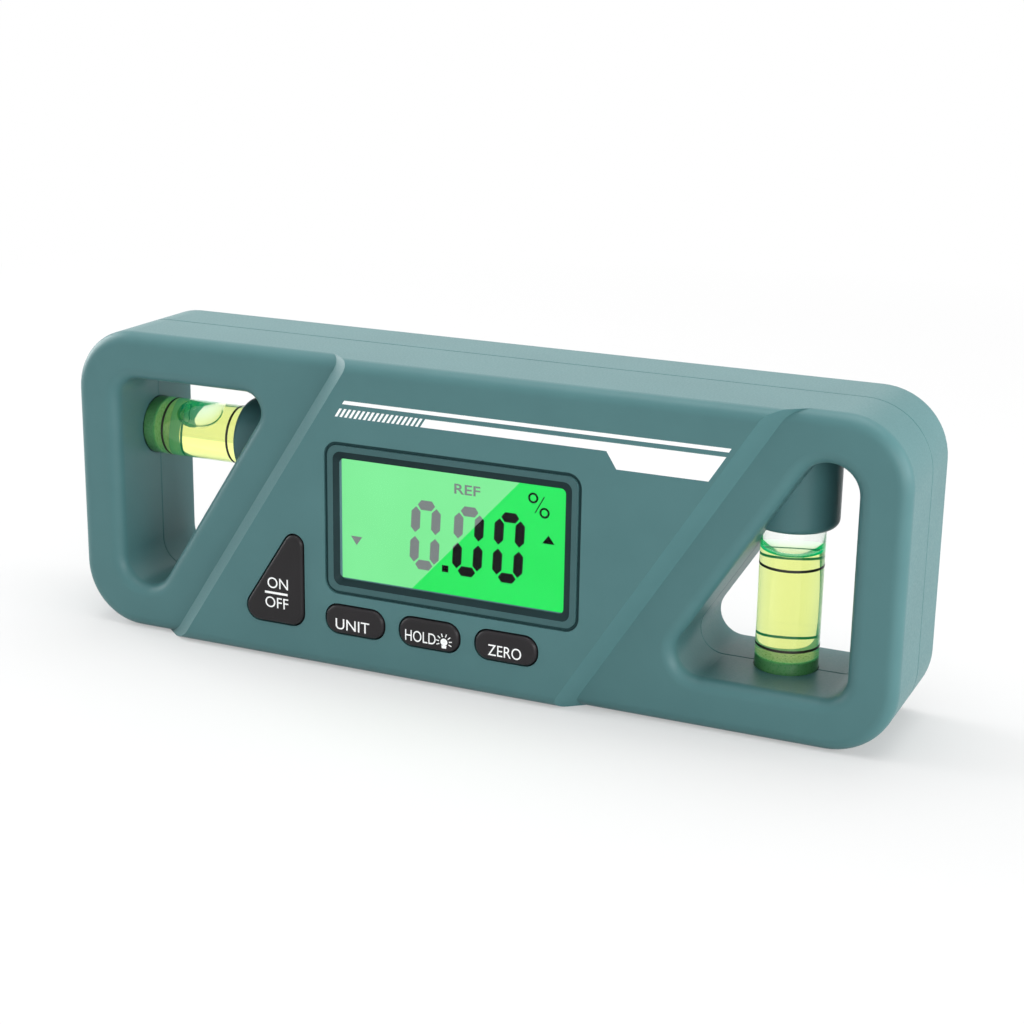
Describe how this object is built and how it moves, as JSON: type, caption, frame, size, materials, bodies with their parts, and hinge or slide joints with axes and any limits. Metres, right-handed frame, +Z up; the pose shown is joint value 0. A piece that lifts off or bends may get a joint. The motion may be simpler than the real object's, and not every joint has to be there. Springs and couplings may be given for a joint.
{
  "type": "digital angle gauge",
  "caption": "Pocket digital level with slanted end windows that hold a level vial and a plumb vial, a lit display, slanted power key and key row, and a battery hatch at the back.",
  "frame": {"origin": "under the middle of the body, on the plane of its base", "axes": "+X along the body's length to the plumb vial's end, +Y from the display to the back, +Z up"},
  "size_m": [0.155, 0.0286, 0.056],
  "materials": {
    "housing": "satin moulded plastic",
    "keys": "satin black plastic",
    "lens": "clear window",
    "lcd": "lit green display",
    "diffuser": "translucent light guide",
    "contact_rubber": "conductive rubber",
    "board": "laminate",
    "chip": "moulded package",
    "switch": "moulded",
    "stem": "moulded",
    "vial": "clear tube",
    "liquid": "dyed spirit",
    "plug": "moulded",
    "cell": "wrapped cell",
    "steel": "plated",
    "magnet": "plated disc"
  },
  "bodies": {
    "gauge": {"front_housing": "housing", "rear_housing": "housing", "housing_screws": "steel", "display_lens": "lens", "lcd_cell": "lcd", "backlight": "diffuser", "lcd_contact_strip": "contact_rubber", "circuit_board": "board", "board_screws": "steel", "controller_chip": "chip", "tilt_sensor": "chip", "power_switch": "switch", "unit_switch": "switch", "hold_switch": "switch", "zero_switch": "switch", "level_vial": "vial", "level_liquid": "liquid", "level_plug": "plug", "plumb_vial": "vial", "plumb_liquid": "liquid", "plumb_plug": "plug", "upper_battery": "cell", "lower_battery": "cell", "link_contact": "steel", "positive_contact": "steel", "negative_contact": "steel", "left_magnet": "magnet", "right_magnet": "magnet"},
    "power_key": {"power_key": "keys", "power_stem": "stem"},
    "unit_key": {"unit_key": "keys", "unit_stem": "stem"},
    "hold_key": {"hold_key": "keys", "hold_stem": "stem"},
    "zero_key": {"zero_key": "keys", "zero_stem": "stem"},
    "battery_hatch": {"battery_hatch": "housing"}
  },
  "joints": [
    {"name": "power_press", "type": "slide", "parent": "gauge", "child": "power_key", "axis": [0, 1, 0], "range_m": [0, 0.0005], "stiffness_N_per_m": 3000},
    {"name": "unit_press", "type": "slide", "parent": "gauge", "child": "unit_key", "axis": [0, 1, 0], "range_m": [0, 0.0005], "stiffness_N_per_m": 3000},
    {"name": "hold_press", "type": "slide", "parent": "gauge", "child": "hold_key", "axis": [0, 1, 0], "range_m": [0, 0.0005], "stiffness_N_per_m": 3000},
    {"name": "zero_press", "type": "slide", "parent": "gauge", "child": "zero_key", "axis": [0, 1, 0], "range_m": [0, 0.0005], "stiffness_N_per_m": 3000},
    {"name": "hatch_swing", "type": "hinge", "parent": "gauge", "child": "battery_hatch", "pos_m": [0, 0.01425, 0.0148], "axis": [-1, 0, 0], "range_deg": [0, 65]}
  ]
}
